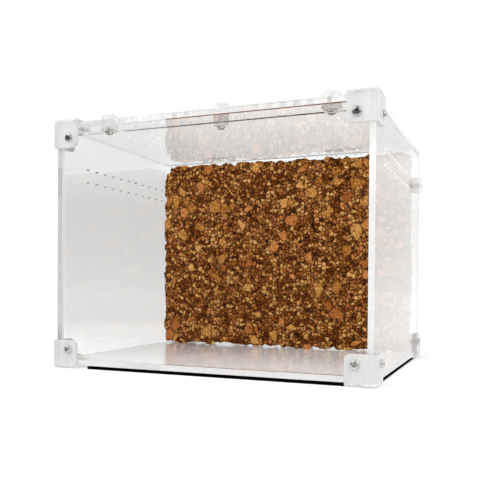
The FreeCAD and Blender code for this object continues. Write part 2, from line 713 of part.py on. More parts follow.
def leaf_screws(label, side_y, lift):
    """The four countersunk screws of the leaves on the rail, or on the lid."""
    shape = sunk_screw(number("leaf_screw_length"), number("leaf_shank_radius"),
                       number("leaf_head_radius"), number("leaf_head_height"))
    y = number(HINGE_Y) + side_y * number("leaf_screw_reach")
    z = number(f"{PANEL_TOP} + leaf") + lift
    reaches = (number(f"{HINGE_X} - leaf_screw_side"), number(f"{HINGE_X} + leaf_screw_side"))
    group(label, shape, [((side * reach, y, z), (0, 0, 1)) for side in (-1, 1) for reach in reaches])


# ---- The whole habitat ----------------------------------------------------------------------------

floor_panel()
side_panel("left_panel", -1)
side_panel("right_panel", 1)
end_panel("front_panel", -1)
end_panel("back_panel", 1)
front_rail()
rear_rail()
lid_panel()
for side_x, side_y, top in BRACKETS:
    end_name = "front" if side_y < 0 else "rear"
    side_name = "left" if side_x < 0 else "right"
    level_name = "top" if top else "bottom"
    corner_bracket(f"bracket_{end_name}_{side_name}_{level_name}", side_x, side_y, top)
bracket_fasteners()
cork_wall()
lid_knob()
for side, side_name in ((-1, "left"), (1, "right")):
    turn_button(side_name, side)
    cork_stop(side_name, side)
    hinge_leaf(f"{side_name}_rail_leaf", side, fixed=True)
    hinge_leaf(f"{side_name}_lid_leaf", side, fixed=False)
    hinge_pin(f"{side_name}_hinge_pin", side)
leaf_screws("rail_leaf_screws", 1, 0)
leaf_screws("lid_leaf_screws", -1, number("lid_lift"))
DOC.recompute()

for thing in DOC.Objects:
    if "Invalid" in thing.State or "Error" in thing.State:
        raise RuntimeError(f"{thing.Label} did not build: {thing.State}")
for subpart in SUBPARTS:
    if subpart.Shape.isNull() or not subpart.Shape.isValid():
        raise RuntimeError(f"{subpart.Label} has no valid shape")

os.makedirs("parts", exist_ok=True)
for subpart in SUBPARTS:
    subpart.Shape.exportStep(f"parts/{subpart.Label}.step")
print(len(SUBPARTS), "sub-parts,", sum(len(subpart.Shape.Solids) for subpart in SUBPARTS), "solids")
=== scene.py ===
# %% [markdown]
# # A clear insect habitat with a cork back
#
# The habitat is a box of clear acrylic panels, held by six frosted corner brackets with steel screws. Its
# lid is hinged and vented, two turn buttons can hold it shut, and a sheet of cork granulate stands in front
# of the back panel. The construction comes from the CAD frame and is never moved here. This lesson gives
# every surface its finish, builds the cork as a sheet of pressed chips, and lights the box.
#
# Clear plastic is the hard part. It has no colour of its own to paint, so what it shows is its edges, its
# reflections and what stands behind it. The finishes below are therefore made together with the studio.

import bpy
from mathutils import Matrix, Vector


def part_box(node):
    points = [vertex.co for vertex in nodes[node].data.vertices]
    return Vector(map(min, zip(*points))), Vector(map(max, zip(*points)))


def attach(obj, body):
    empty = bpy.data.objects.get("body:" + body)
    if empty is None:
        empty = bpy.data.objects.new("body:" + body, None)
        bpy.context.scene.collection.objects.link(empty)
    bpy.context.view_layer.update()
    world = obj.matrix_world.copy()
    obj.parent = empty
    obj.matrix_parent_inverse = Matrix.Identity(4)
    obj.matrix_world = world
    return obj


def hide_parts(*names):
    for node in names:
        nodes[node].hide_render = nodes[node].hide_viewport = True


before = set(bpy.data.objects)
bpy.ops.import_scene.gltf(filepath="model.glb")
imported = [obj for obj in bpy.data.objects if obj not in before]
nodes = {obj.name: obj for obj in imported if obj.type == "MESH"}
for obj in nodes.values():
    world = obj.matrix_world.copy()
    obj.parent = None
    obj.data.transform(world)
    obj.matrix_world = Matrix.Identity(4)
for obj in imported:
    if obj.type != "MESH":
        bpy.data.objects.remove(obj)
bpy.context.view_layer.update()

# %% Tools and units
import math

import bpy
from mathutils import Matrix, Vector

MM = 0.001
scene = bpy.context.scene
print("one millimetre is", MM, "of a Blender unit")

# %% [markdown]
# ## Shader maths as plain expressions
#
# A material is a graph of small nodes, and a formula such as `1 - mask` takes one Math node for each sign.
# Writing those by hand hides the formula, so one small class wraps a socket and lets Python's own
# operators add the nodes. Everything else, such as a noise or a ramp, comes from one method that takes
# the node's type, its settings and its inputs.


# %% A socket that can be used in sums
class Wire:
    """A socket of a node tree that takes part in expressions."""

    def __init__(self, tree, socket):
        self.tree = tree
        self.socket = socket

    def node(self, kind, inputs=(), out=0, **settings):
        """Adds a node of a type, with its settings first and then its inputs, and returns one output."""
        made = self.tree.nodes.new(kind)
        for name, value in settings.items():
            if name == "stops":
                ramp_stops(made, value)
            else:
                setattr(made, name, value)
        for key, value in dict(inputs).items():
            self.feed(made.inputs[key], value)
        return Wire(self.tree, made.outputs[out])

    def feed(self, socket, value):
        """Links a wire to a socket, or sets the socket to a plain value."""
        if isinstance(value, Wire):
            self.tree.links.new(value.socket, socket)
        elif hasattr(socket.default_value, "__len__") and len(socket.default_value) == 4:
            socket.default_value = (*value, 1.0) if len(value) == 3 else value
        else:
            socket.default_value = value

    def math(self, operation, *values):
        """One Math node. All its values are given, so the wire itself only names the tree."""
        return self.node("ShaderNodeMath", dict(enumerate(values)), operation=operation)

    def __add__(self, other):
        return self.math("ADD", self, other)

    def __radd__(self, other):
        return self.math("ADD", other, self)

    def __sub__(self, other):
        return self.math("SUBTRACT", self, other)

    def __rsub__(self, other):
        return self.math("SUBTRACT", other, self)

    def __mul__(self, other):
        return self.math("MULTIPLY", self, other)

    def __rmul__(self, other):
        return self.math("MULTIPLY", other, self)

    def __truediv__(self, other):
        return self.math("DIVIDE", self, other)

    def __gt__(self, other):
        return self.math("GREATER_THAN", self, other)

    def __lt__(self, other):
        return self.math("LESS_THAN", self, other)

    def __abs__(self):
        return self.math("ABSOLUTE", self)

    def at_most(self, other):
        return self.math("MINIMUM", self, other)

    def at_least(self, other):
        return self.math("MAXIMUM", self, other)

    def between(self, low, high, to_low=0.0, to_high=1.0):
        """Fades smoothly from one value to another as this value goes from low to high."""
        inputs = {"Value": self, "From Min": low, "From Max": high, "To Min": to_low, "To Max": to_high}
        return self.node("ShaderNodeMapRange", inputs, interpolation_type="SMOOTHSTEP")

    def axes(self):
        """The X, Y and Z of a vector."""
        made = self.node("ShaderNodeSeparateXYZ", {0: self}).socket.node
        return [Wire(self.tree, made.outputs[i]) for i in range(3)]

    def blend(self, factor, other):
        """This colour, mixed with another one by a factor."""
        return self.node("ShaderNodeMix", {0: factor, 6: self, 7: other}, out=2, data_type="RGBA")


def ramp_stops(node, stops):
    """Gives a colour ramp its stops: pairs of place and colour."""
    ramp = node.color_ramp
    while len(ramp.elements) < len(stops):
        ramp.elements.new(0.5)
    for element, (place, colour) in zip(ramp.elements, stops):
        element.position = place
        element.color = (*colour, 1.0)


def new_material(name):
    """A new node material: the material, a Wire to build from, its Principled shader and its output."""
    material = bpy.data.materials.new(name)
    material.use_nodes = True
    tree = material.node_tree
    tree.nodes.clear()
    output = tree.nodes.new("ShaderNodeOutputMaterial")
    shader = tree.nodes.new("ShaderNodeBsdfPrincipled")
    tree.links.new(shader.outputs[0], output.inputs["Surface"])
    return material, Wire(tree, None), shader, output


print("shader maths is ready")

# %% [markdown]
# ## The camera
#
# The view is from low in front of the right half, so that the lid is seen from below and the right wall
# from outside. The camera is placed from the middle of the case, turned by three angles, and its lens is
# shifted to frame the box in the square picture.

# %% Place the camera
FRAME_SIDE = 480
CAMERA_PLACE = Vector((247.4, -597.9, 79.25)) * MM
CAMERA_YAW = 0.3644
CAMERA_PITCH = -0.012
CAMERA_ROLL = 0.0081
FOCAL_PIXELS = 625.85
AXIS_PIXEL = (271.5, 292.1)
SENSOR_WIDTH = 36
NEAREST_SEEN = 10 * MM


def aim(yaw, pitch, roll):
    """The rotation of a camera that looks along +Y, turned left by yaw, up by pitch and rolled."""
    forward = Vector((-math.sin(yaw) * math.cos(pitch), math.cos(yaw) * math.cos(pitch), math.sin(pitch)))
    right = Vector((math.cos(yaw), math.sin(yaw), 0))
    up = right.cross(forward)
    rolled_right = math.cos(roll) * right + math.sin(roll) * up
    rolled_up = math.cos(roll) * up - math.sin(roll) * right
    return Matrix((rolled_right, rolled_up, -forward)).transposed()


lens = bpy.data.cameras.new("studio_camera")
lens.sensor_width = SENSOR_WIDTH
lens.lens = FOCAL_PIXELS / FRAME_SIDE * lens.sensor_width
lens.shift_x = (FRAME_SIDE / 2 - AXIS_PIXEL[0]) / FRAME_SIDE
lens.shift_y = (AXIS_PIXEL[1] - FRAME_SIDE / 2) / FRAME_SIDE
lens.clip_start = NEAREST_SEEN
camera = bpy.data.objects.new("studio_camera", lens)
camera.matrix_world = Matrix.Translation(CAMERA_PLACE) @ aim(CAMERA_YAW, CAMERA_PITCH, CAMERA_ROLL).to_4x4()
scene.collection.objects.link(camera)
scene.camera = camera
scene.view_settings.view_transform = "Standard"
print(f"camera: {lens.lens:.1f} mm lens, shift {lens.shift_x:.3f}, {lens.shift_y:.3f}")

# %% [markdown]
# ## The studio
#
# Clear plastic takes its tones from the room, so the room comes before the finishes. The backdrop is pale
# and a little darker just above the horizon, which draws the panels against the white background. The side
# behind the camera is dark. Whatever the front panel and the screws mirror towards the camera is therefore
# dark too: the cork stays deep in colour behind its panel, and the screws look like chrome.
#
# Two brighter fields lie in the backdrop, in the manner of softboxes: one above the box, which shows
# through the lid, and one to its right, which the right panel mirrors. Both are placed for the camera's
# side of the box.
#
# The camera itself sees the background as plain white. Rays that have passed through the plastic see the
# backdrop's ramp, and rays that have been mirrored see the dark side as well.
#
# Light that enters a panel's end runs down the sheet by many total reflections. Too few bounces would turn
# those ends black, so the limits are raised.

# %% The light paths
BOUNCES = 64
scene.cycles.max_bounces = BOUNCES
scene.cycles.transmission_bounces = BOUNCES
scene.cycles.glossy_bounces = BOUNCES
scene.cycles.transparent_max_bounces = BOUNCES
print("light may bounce", scene.cycles.max_bounces, "times")

# %% The world
# Places in the room are directions: how far to the right, to the back and up a ray of length 1 goes.
WORLD_LIGHT = 0.62
DARK_SIDE = 0.008
DARK_FADE = (-0.25, 0.15)
BACKDROP = (
    (-0.06, 0.98),
    (0.0, 0.93),
    (0.05, 0.87),
    (0.115, 0.84),
    (0.15, 0.91),
    (0.18, 1.0),
    (0.22, 1.02),
    (0.5, 1.0),
)
RAMP_LOW = -0.1
RAMP_HIGH = 0.9
SOFTBOX_ABOVE = 0.42
ABOVE_LEFT_EDGE = (-0.53, -0.44)
ABOVE_RIGHT_EDGE = (-0.22, -0.18)
ABOVE_LOWER_EDGE = (0.175, 0.205)
SOFTBOX_BESIDE = 0.30
BESIDE_LEFT_EDGE = (0.0, 0.15)
BESIDE_FRONT_EDGE = (0.3, 0.6)
BESIDE_WEAKER_UP = (-0.08, 0.13, 1.0, 0.62)
BESIDE_UPPER_EDGE = (0.188, 0.206)
# A depth counts whole bounces, so every depth above a half has been mirrored.
HALF_BOUNCE = 0.5


def path_outputs(wire, *names):
    """What kind of ray is asking, as one wire for each named output."""
    path = wire.node("ShaderNodeLightPath").socket.node
    return [Wire(wire.tree, path.outputs[name]) for name in names]


def room():
    """The world: plain light for the scene, a backdrop for clear and mirrored rays, white for the camera."""
    world = bpy.data.worlds.new("studio_room")
    world.use_nodes = True
    tree = world.node_tree
    tree.nodes.clear()
    wire = Wire(tree, None)
    camera_ray, glossy, transmission, mirrored = path_outputs(
        wire, "Is Camera Ray", "Is Glossy Ray", "Is Transmission Ray", "Glossy Depth"
    )
    across, forward, height = wire.node("ShaderNodeTexCoord", out="Generated").axes()
    place = (height - RAMP_LOW) / (RAMP_HIGH - RAMP_LOW)
    stops = [((z - RAMP_LOW) / (RAMP_HIGH - RAMP_LOW), (level, level, level)) for z, level in BACKDROP]
    backdrop = wire.node("ShaderNodeValToRGB", {"Fac": place}, stops=stops).axes()[0]
    above = across.between(*ABOVE_LEFT_EDGE) * height.between(*ABOVE_LOWER_EDGE)
    above = above * across.between(*ABOVE_RIGHT_EDGE, 1.0, 0.0)
    beside = across.between(*BESIDE_LEFT_EDGE) * forward.between(*BESIDE_FRONT_EDGE)
    beside = beside * (height.between(*BESIDE_WEAKER_UP) - height.between(*BESIDE_UPPER_EDGE))
    backdrop = backdrop * (1 + SOFTBOX_ABOVE * above) * (1 + SOFTBOX_BESIDE * beside)
    dark = (mirrored > HALF_BOUNCE) * forward.between(*DARK_FADE, 1.0, 0.0)
    backdrop = backdrop * (1 - dark) + DARK_SIDE * dark
    seen = (glossy + transmission).at_most(1.0)
    level = backdrop * seen + WORLD_LIGHT * (1 - seen)
    level = level * (1 - camera_ray) + camera_ray
    light = wire.node("ShaderNodeBackground", {"Color": (1, 1, 1), "Strength": level})
    output = tree.nodes.new("ShaderNodeOutputWorld")
    tree.links.new(light.socket, output.inputs["Surface"])
    return world


scene.world = room()
print("world light", WORLD_LIGHT, "with a backdrop of", len(BACKDROP), "tones")

# %% [markdown]
# ## The table
#
# The table is a real white surface that catches the shadow. Far away it melts into the backdrop, so that no
# horizon shows. The box stands on its brackets with a gap of a few millimetres under it, and almost no
# light comes back out of that gap: it reads as a black line between the brackets. That line is a painted
# shadow: a dark band on the table, just inside the box's outline, that only the camera sees. Its left end is
# cut along the camera's line of sight, so that it starts beside the bracket. Through the clear floor panel
# the table has a painted glow and looks bright, and in mirrors the part in front of the box is painted as
# dark as the room behind the camera.

# %% The floor
FLOOR_SIDE = 12.0
FLOOR_COLOUR = (0.80, 0.80, 0.80)
FLOOR_ROUGHNESS = 0.6
FLOOR_GLOW = 0.22
FLOOR_GLOW_SEEN = 0.37
# Painted light: under the box the table glows for rays that come through the plastic, more to the right and
# the front.
UNDERGLOW = 0.90
UNDERGLOW_ACROSS = (-0.16, 0.02, 0.25, 1.0)
UNDERGLOW_ALONG = (-0.06, 0.09, 1.0, 0.5)
MELT_START = 0.35
MELT_END = 0.90
MIRROR_MELT = 0.35
FAR_LEVEL = 0.97
# Painted shadow: a dark band on the table, just inside the box's outline, stands for the gap under the box.
GAP_SHADOW_EDGE = (-2 * MM, 1 * MM)
GAP_SHADOW_DEPTH = 24 * MM
GAP_SHADOW_FADE = 8 * MM
GAP_START = 33 * MM
GAP_START_FADE = 2 * MM
SIGHT_SLANT = 0.77
# Painted dark: the gap's painted shadow, and a painted reflection that makes the table in front of the box
# nearly black in mirrors.
UNLIT_FADE = (-0.34, -0.14)
UNLIT = (0.002, 0.002, 0.002)


def plane(name, side, z):
    """A level square around the origin."""
    mesh = bpy.data.meshes.new(name)
    half = side / 2
    corners = [(-half, -half, z), (half, -half, z), (half, half, z), (-half, half, z)]
    mesh.from_pydata(corners, [], [(0, 1, 2, 3)])
    made = bpy.data.objects.new(name, mesh)
    scene.collection.objects.link(made)
    return made


def floor_finish(low, high):
    """White table paint with a painted shadow for the gap under a box that reaches from low to high."""
    material, wire, shader, output = new_material("pale_floor")
    wire.feed(shader.inputs["Base Color"], FLOOR_COLOUR)
    wire.feed(shader.inputs["Roughness"], FLOOR_ROUGHNESS)
    wire.feed(shader.inputs["Emission Strength"], 1.0)
    place = wire.node("ShaderNodeTexCoord", out="Object")
    camera_ray, diffuse, transmission, mirrored = path_outputs(
        wire, "Is Camera Ray", "Is Diffuse Ray", "Is Transmission Ray", "Glossy Depth"
    )
    away = wire.node("ShaderNodeVectorMath", {0: place}, out="Value", operation="LENGTH")
    across, along = place.axes()[:2]
    inside_x = (high.x - low.x) / 2 - abs(across - (high.x + low.x) / 2)
    inside_y = (high.y - low.y) / 2 - abs(along - (high.y + low.y) / 2)
    inside = inside_x.at_most(inside_y)
    # Painted light: the glow under the box, for rays through the plastic.
    under = UNDERGLOW * across.between(*UNDERGLOW_ACROSS) * (inside > 0) * transmission
    under = under * along.between(*UNDERGLOW_ALONG)
    glow = FLOOR_GLOW_SEEN + (FLOOR_GLOW - FLOOR_GLOW_SEEN) * diffuse + under
    wire.feed(shader.inputs["Emission Color"], glow)
    beside = (across / away).between(*BESIDE_LEFT_EDGE)
    far_level = FAR_LEVEL * (1 + SOFTBOX_BESIDE * beside)
    far = wire.node("ShaderNodeEmission", {"Strength": camera_ray + far_level * (1 - camera_ray)})
    melted = (away + MIRROR_MELT * (mirrored > HALF_BOUNCE)).between(MELT_START, MELT_END)
    paint = Wire(wire.tree, shader.outputs[0])
    table = wire.node("ShaderNodeMixShader", {0: melted, 1: paint, 2: far})
    # Painted shadow: the dark band that only the camera sees, which makes the black line under the box.
    gap_shadow = inside.between(*GAP_SHADOW_EDGE) * inside.between(GAP_SHADOW_DEPTH, GAP_SHADOW_DEPTH + GAP_SHADOW_FADE, 1.0, 0.0)
    start = across + SIGHT_SLANT * (along - low.y) - low.x
    gap_shadow = gap_shadow * start.between(GAP_START, GAP_START + GAP_START_FADE).at_least(along > 0)
    # Painted reflection: in mirrors the table in front of the box turns nearly black.
    front = (mirrored > HALF_BOUNCE) * along.between(*UNLIT_FADE, 1.0, 0.0)
    unlit = wire.node("ShaderNodeEmission", {"Color": UNLIT, "Strength": 1.0})
    painted_dark = wire.node("ShaderNodeMixShader", {0: (gap_shadow * camera_ray).at_least(front), 1: table, 2: unlit})
    wire.tree.links.new(painted_dark.socket, output.inputs["Surface"])
    return material


floor = plane("studio_floor", FLOOR_SIDE, 0)
panel_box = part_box("floor_panel")
floor.data.materials.append(floor_finish(Vector(panel_box[0]), Vector(panel_box[1])))
print("floor:", FLOOR_SIDE, "m square")

# %% The lamps
# Each lamp has a name, a place, the side of its square in metres and a power in watts.
LAMPS = (
    ("key_lamp", (-0.9, -1.1, 1.5), 1.2, 14),
    ("fill_lamp", (1.3, -0.9, 1.1), 1.2, 11),
)
LAMP_TARGET = Vector((0, 0, 0.1))


def soft_lamp(name, place, side, power):
    """A square lamp that is turned towards the box."""
    data = bpy.data.lights.new(name, "AREA")
    data.size = side
    data.energy = power
    lamp = bpy.data.objects.new(name, data)
    lamp.location = place
    lamp.rotation_euler = (LAMP_TARGET - Vector(place)).to_track_quat("-Z", "Y").to_euler()
    scene.collection.objects.link(lamp)


for lamp in LAMPS:
    soft_lamp(*lamp)
print("lamps:", ", ".join(lamp[0] for lamp in LAMPS))

# %% [markdown]
# ## Clear acrylic
#
# Cast acrylic bends light a little less than glass. Its faces are polished. Its sawn edges and drilled holes
# carry the fine marks of the tool, and where a sawn edge is the outside of the case it is frosted. One
# recipe makes all of that: the normal says whether a point is on a face or on an edge, and the roughness
# and the tint follow it.
#
# The panels differ in their wear and in painted shade. The frost is pale, but grey on the rails and darker
# grey on the left panel, which is painted shade. The holes of the left panel are darker, swarf makes those
# of the right panel white, the right panel has a thin haze, and the floor panel and the lid are scuffed. In
# the right panel and the lid, the wall of each hole that faces the front glows with painted light, because
# so small a hole catches too little light to show, and in the lid the walls that face back are painted dark
# as their shade. These amounts suit the camera's side of the box.
#
# Lamps can't aim through bending plastic, so shadow rays and diffuse rays meet a plain see-through tint in
# its place, which lights the inside of the box without noise.

# %% The acrylic
ACRYLIC_TINT = (0.965, 0.968, 0.965)
ACRYLIC_IOR = 1.49
ACRYLIC_SHADOW = (0.94, 0.94, 0.94)
SAWN_TINT = (0.93, 0.93, 0.925)
SAW_SCALE = 420.0
# The frost's own tone, and two darker copies of it that are painted shade: one for the rails, one for the
# left panel.
FROST_TONE = (0.93, 0.93, 0.925)
FROST_SHADED = (0.74, 0.74, 0.735)
FROST_DEEP_SHADE = (0.58, 0.58, 0.575)
# Tones for the walls of drilled holes: dark on the left panel, painted shade on the lid's walls that face
# back, and white swarf on the right panel.
DARK_HOLE_TONE = (0.12, 0.12, 0.12)
WHITE_SWARF = (0.98, 0.98, 0.98)
# Painted light: a glow on the walls of holes that face the front, in the right panel and the lid.
PAINTED_HOLE_GLOW = 0.55
CASE_HIGH = Vector(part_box("right_panel")[1])
OUTSIDE = 0.5 * MM
VENT_MARGIN = 3 * MM
VENTED = {0: "left_panel", 2: "lid_panel"}


def lamp_light_passes(wire, surface, output, tint):
    """Lets lamps through a glass surface: shadow and diffuse rays meet a see-through tint."""
    shadow, diffuse = path_outputs(wire, "Is Shadow Ray", "Is Diffuse Ray")
    clear = wire.node("ShaderNodeBsdfTransparent", {"Color": tint})
    mixed = wire.node("ShaderNodeMixShader", {0: (shadow + diffuse).at_most(1.0), 1: surface, 2: clear})
    wire.tree.links.new(mixed.socket, output.inputs["Surface"])


def acrylic(name, axis, drilled=None, amount=0.0, painted_glow=0.0, scuffs=0.0, haze=0.0, frost_tone=FROST_TONE):
    """Clear sheet whose faces lie across one axis. The other sides are sawn, and its holes are drilled.

    An amount above 0 coats the walls of the holes with the drilled tone. A painted glow lights the walls of
    the holes that face the front, and then the drilled tone goes only on the walls that face back.
    """
    material, wire, shader, output = new_material(name)
    coordinates = wire.node("ShaderNodeTexCoord", out="Object")
    normal = wire.node("ShaderNodeTexCoord", out="Normal")
    edge = abs(normal.axes()[axis]).between(0.5, 0.9, 1.0, 0.0)
    saw = wire.node("ShaderNodeTexNoise", {"Vector": coordinates, "Scale": SAW_SCALE, "Detail": 3.0})
    tint = wire.node("ShaderNodeMix", {0: edge, 6: ACRYLIC_TINT, 7: SAWN_TINT}, out=2, data_type="RGBA")
    wire.feed(shader.inputs["Base Color"], tint)
    wire.feed(shader.inputs["Transmission Weight"], 1.0)
    wire.feed(shader.inputs["IOR"], ACRYLIC_IOR)
    wire.feed(shader.inputs["Roughness"], edge * (0.06 + 0.10 * saw) + (1 - edge) * (scuffs * (0.5 + saw)))
    surface = Wire(wire.tree, shader.outputs[0])
    across, along = coordinates.axes()[:2]
    outer = (abs(across) > CASE_HIGH.x - OUTSIDE).at_least(abs(along) > CASE_HIGH.y - OUTSIDE)
    frost_amount = 0.55 + 0.15 * saw
    if axis == 1:
        outer = outer.at_least(abs(normal.axes()[0]) > 0.9)
        frost_amount = frost_amount.at_least(abs(normal.axes()[0]))
    frosted = (outer * edge * frost_amount).at_least(haze)
    frost = wire.node("ShaderNodeBsdfDiffuse", {"Color": frost_tone})
    surface = wire.node("ShaderNodeMixShader", {0: frosted, 1: surface, 2: frost})
    if amount:
        low, high = (Vector(corner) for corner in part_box(VENTED[axis]))
        hole = edge
        for other, place in enumerate(coordinates.axes()):
            if other != axis:
                middle, half = (high[other] + low[other]) / 2, (high[other] - low[other]) / 2
                hole = hole * (abs(place - middle) < half - VENT_MARGIN)
        # The drilled tone: darker walls on the left panel, painted shade on the lid's back-facing walls,
        # white swarf on the right panel.
        hole_shader = wire.node("ShaderNodeBsdfDiffuse", {"Color": drilled})
        if painted_glow:
            # Painted light: the walls that face the front glow, and the drilled tone keeps to the others.
            lit = hole * (normal.axes()[1] < 0.0)
            wire.feed(shader.inputs["Emission Color"], lit * painted_glow)
            wire.feed(shader.inputs["Emission Strength"], 1.0)
            hole = hole - lit
        surface = wire.node("ShaderNodeMixShader", {0: hole * amount, 1: surface, 2: hole_shader})
    lamp_light_passes(wire, surface, output, ACRYLIC_SHADOW)
    return material


def dress(names, material):
    """Gives CAD nodes a finish. Their shapes and places stay as they are."""
    for name in names:
        data = nodes[name].data
        data.materials.clear()
        data.materials.append(material)


# The left panel's grey frost is painted shade, and its holes are darker.
left_shade_and_hole_tone = {"drilled": DARK_HOLE_TONE, "amount": 0.4, "frost_tone": FROST_DEEP_SHADE}
# The right panel's holes have white swarf and a painted glow.
right_swarf_glow_and_haze = {"drilled": WHITE_SWARF, "amount": 0.5, "painted_glow": PAINTED_HOLE_GLOW, "haze": 0.13}
# In the lid the dark hole walls are painted shade beside the painted glow, and the scuffs are wear.
lid_scuffs_shade_and_glow = {"drilled": DARK_HOLE_TONE, "amount": 0.5, "painted_glow": PAINTED_HOLE_GLOW, "scuffs": 0.07}
dress(("left_panel",), acrylic("acrylic_left", 0, **left_shade_and_hole_tone))
dress(("right_panel",), acrylic("acrylic_right", 0, **right_swarf_glow_and_haze))
dress(("lid_panel",), acrylic("acrylic_lid", 2, **lid_scuffs_shade_and_glow))
dress(("front_panel", "back_panel"), acrylic("acrylic_upright", 1))
# The rails' grey frost is painted shade.
dress(("front_rail", "rear_rail"), acrylic("acrylic_rail", 2, frost_tone=FROST_SHADED))
dress(("floor_panel",), acrylic("acrylic_floor", 2, scuffs=0.17))
print("acrylic on 8 panels")

# %% [markdown]
# ## Frosted printed brackets
#
# The corner brackets are printed in a frosted plastic that lets light through: screws and nuts behind a
# flange show as soft shadows. The print's layers run up and down the flanges. They are far too fine to
# model, so they are a bump: a noise that is stretched along the layers, with a broader one for the uneven
# flow, which also clouds the colour and the roughness.

# %% The printed plastic
PRINT_SHADOW = (0.72, 0.72, 0.72)
PRINT_CLOUDS = ((0.3, (0.87, 0.87, 0.865)), (0.7, (0.98, 0.98, 0.975)))
PRINT_STRETCH = (1.0, 1.0, 0.05)
PRINT_IOR = 1.46
LAYER_SCALE = 1400.0
FLOW_SCALE = 320.0


def printed_frost():
    """The brackets' plastic, with its layers standing upright."""
    material, wire, shader, output = new_material("frosted_print")
    coordinates = wire.node("ShaderNodeTexCoord", out="Object")
    stretched = wire.node(
        "ShaderNodeMapping", {"Vector": coordinates, "Scale": PRINT_STRETCH}, vector_type="POINT"
    )
    layers = wire.node("ShaderNodeTexNoise", {"Vector": stretched, "Scale": LAYER_SCALE, "Detail": 2.0})
    flow = wire.node("ShaderNodeTexNoise", {"Vector": stretched, "Scale": FLOW_SCALE, "Detail": 2.0})
    height = layers * 0.6 + flow
    bump = wire.node("ShaderNodeBump", {"Height": height, "Strength": 0.35, "Distance": 0.0003})
    tone = wire.node("ShaderNodeValToRGB", {"Fac": flow}, stops=PRINT_CLOUDS)
    wire.feed(shader.inputs["Base Color"], tone)
    wire.feed(shader.inputs["Transmission Weight"], 0.5)
    wire.feed(shader.inputs["IOR"], PRINT_IOR)
    wire.feed(shader.inputs["Roughness"], 0.24 + 0.12 * flow)
    wire.feed(shader.inputs["Normal"], bump)
    lamp_light_passes(wire, Wire(wire.tree, shader.outputs[0]), output, PRINT_SHADOW)
    return material


BRACKET_NODES = [name for name in nodes if name.startswith("bracket_") and name != "bracket_nuts"]
dress(BRACKET_NODES, printed_frost())
print("frosted plastic on", len(BRACKET_NODES), "brackets")

# %% [markdown]
# ## Steel
#
# The screws are bright stainless steel, and the nuts are tumbled to a pale matt finish. A fine noise in the
# roughness breaks the mirror, and a broader one lets the metal's tone drift a little.

# %% The steel
SCREW_TONES = ((0.35, (0.56, 0.55, 0.53)), (0.65, (0.76, 0.75, 0.73)))
NUT_TONES = ((0.35, (0.92, 0.92, 0.91)), (0.65, (0.98, 0.98, 0.97)))
GRAIN_SCALE = 900.0
DRIFT_SCALE = 160.0


def steel(name, tones, roughness):
    """Steel between two tones, and a little rougher than the given roughness."""
    material, wire, shader = new_material(name)[:3]
    coordinates = wire.node("ShaderNodeTexCoord", out="Object")
    grain = wire.node("ShaderNodeTexNoise", {"Vector": coordinates, "Scale": GRAIN_SCALE, "Detail": 3.0})
    drift = wire.node("ShaderNodeTexNoise", {"Vector": coordinates, "Scale": DRIFT_SCALE, "Detail": 1.0})
    wire.feed(shader.inputs["Base Color"], wire.node("ShaderNodeValToRGB", {"Fac": drift}, stops=tones))
    wire.feed(shader.inputs["Metallic"], 1.0)
    wire.feed(shader.inputs["Roughness"], roughness + 0.18 * grain)
    return material


CLEAR_SCREWS = ("rail_leaf_screws", "lid_leaf_screws")
STEEL_NODES = [name for name in nodes if name.endswith(("_screws", "_screw")) and name not in CLEAR_SCREWS]
dress(STEEL_NODES, steel("steel", SCREW_TONES, 0.26))
dress(["bracket_nuts"], steel("tumbled_steel", NUT_TONES, 0.6))
print("steel on", len(STEEL_NODES) + 1, "nodes")

# %% [markdown]
# ## Moulded plastic
#
# The turn buttons, the lid's knob and the stops are moulded in a milky clear plastic: light passes and the
# steel screw shows as a dark core, but nothing behind them is sharp. The washers are clearer. The hinges,
# their pins and nylon screws have thin walls that almost vanish. All three are one recipe. They bend light
# less than solid plastic would and are partly see-through, the thin ones most of all.

# %% The moulded plastic
HAZE_SCALE = 300.0


def moulded(name, tint, clear, roughness, bending, alpha):
    """Hazy plastic that passes a share of the light, bends it and shows a share of what is behind it."""
    material, wire, shader, output = new_material(name)
    coordinates = wire.node("ShaderNodeTexCoord", out="Object")
    haze = wire.node("ShaderNodeTexNoise", {"Vector": coordinates, "Scale": HAZE_SCALE, "Detail": 2.0})
    wire.feed(shader.inputs["Base Color"], tint)
    wire.feed(shader.inputs["Transmission Weight"], clear)
    wire.feed(shader.inputs["IOR"], bending)
    wire.feed(shader.inputs["Roughness"], roughness + 0.12 * (haze - 0.5))
    wire.feed(shader.inputs["Alpha"], alpha)
    lamp_light_passes(wire, Wire(wire.tree, shader.outputs[0]), output, ACRYLIC_SHADOW)
    return material


KNOB_NODES = [name for name in nodes if name.endswith(("_knob", "_disc"))]
WASHER_NODES = [name for name in nodes if name.endswith("_washer")]
THIN_NODES = [name for name in nodes if name.endswith(("_leaf", "_pin")) or name in CLEAR_SCREWS]
knob_haze = {"tint": (0.985, 0.98, 0.965), "clear": 0.55, "roughness": 0.36, "bending": 1.35, "alpha": 0.9}
washer_haze = {"tint": (0.99, 0.985, 0.97), "clear": 0.90, "roughness": 0.35, "bending": 1.15, "alpha": 0.6}
thin_haze = {"tint": (0.99, 0.99, 0.985), "clear": 0.85, "roughness": 0.50, "bending": 1.1, "alpha": 0.4}
dress(KNOB_NODES, moulded("milky_knob", **knob_haze))
dress(WASHER_NODES, moulded("washer_plastic", **washer_haze))
dress(THIN_NODES, moulded("clear_hinge", **thin_haze))
print("milky plastic on", len(KNOB_NODES), "nodes, clearer plastic on", len(THIN_NODES) + len(WASHER_NODES))

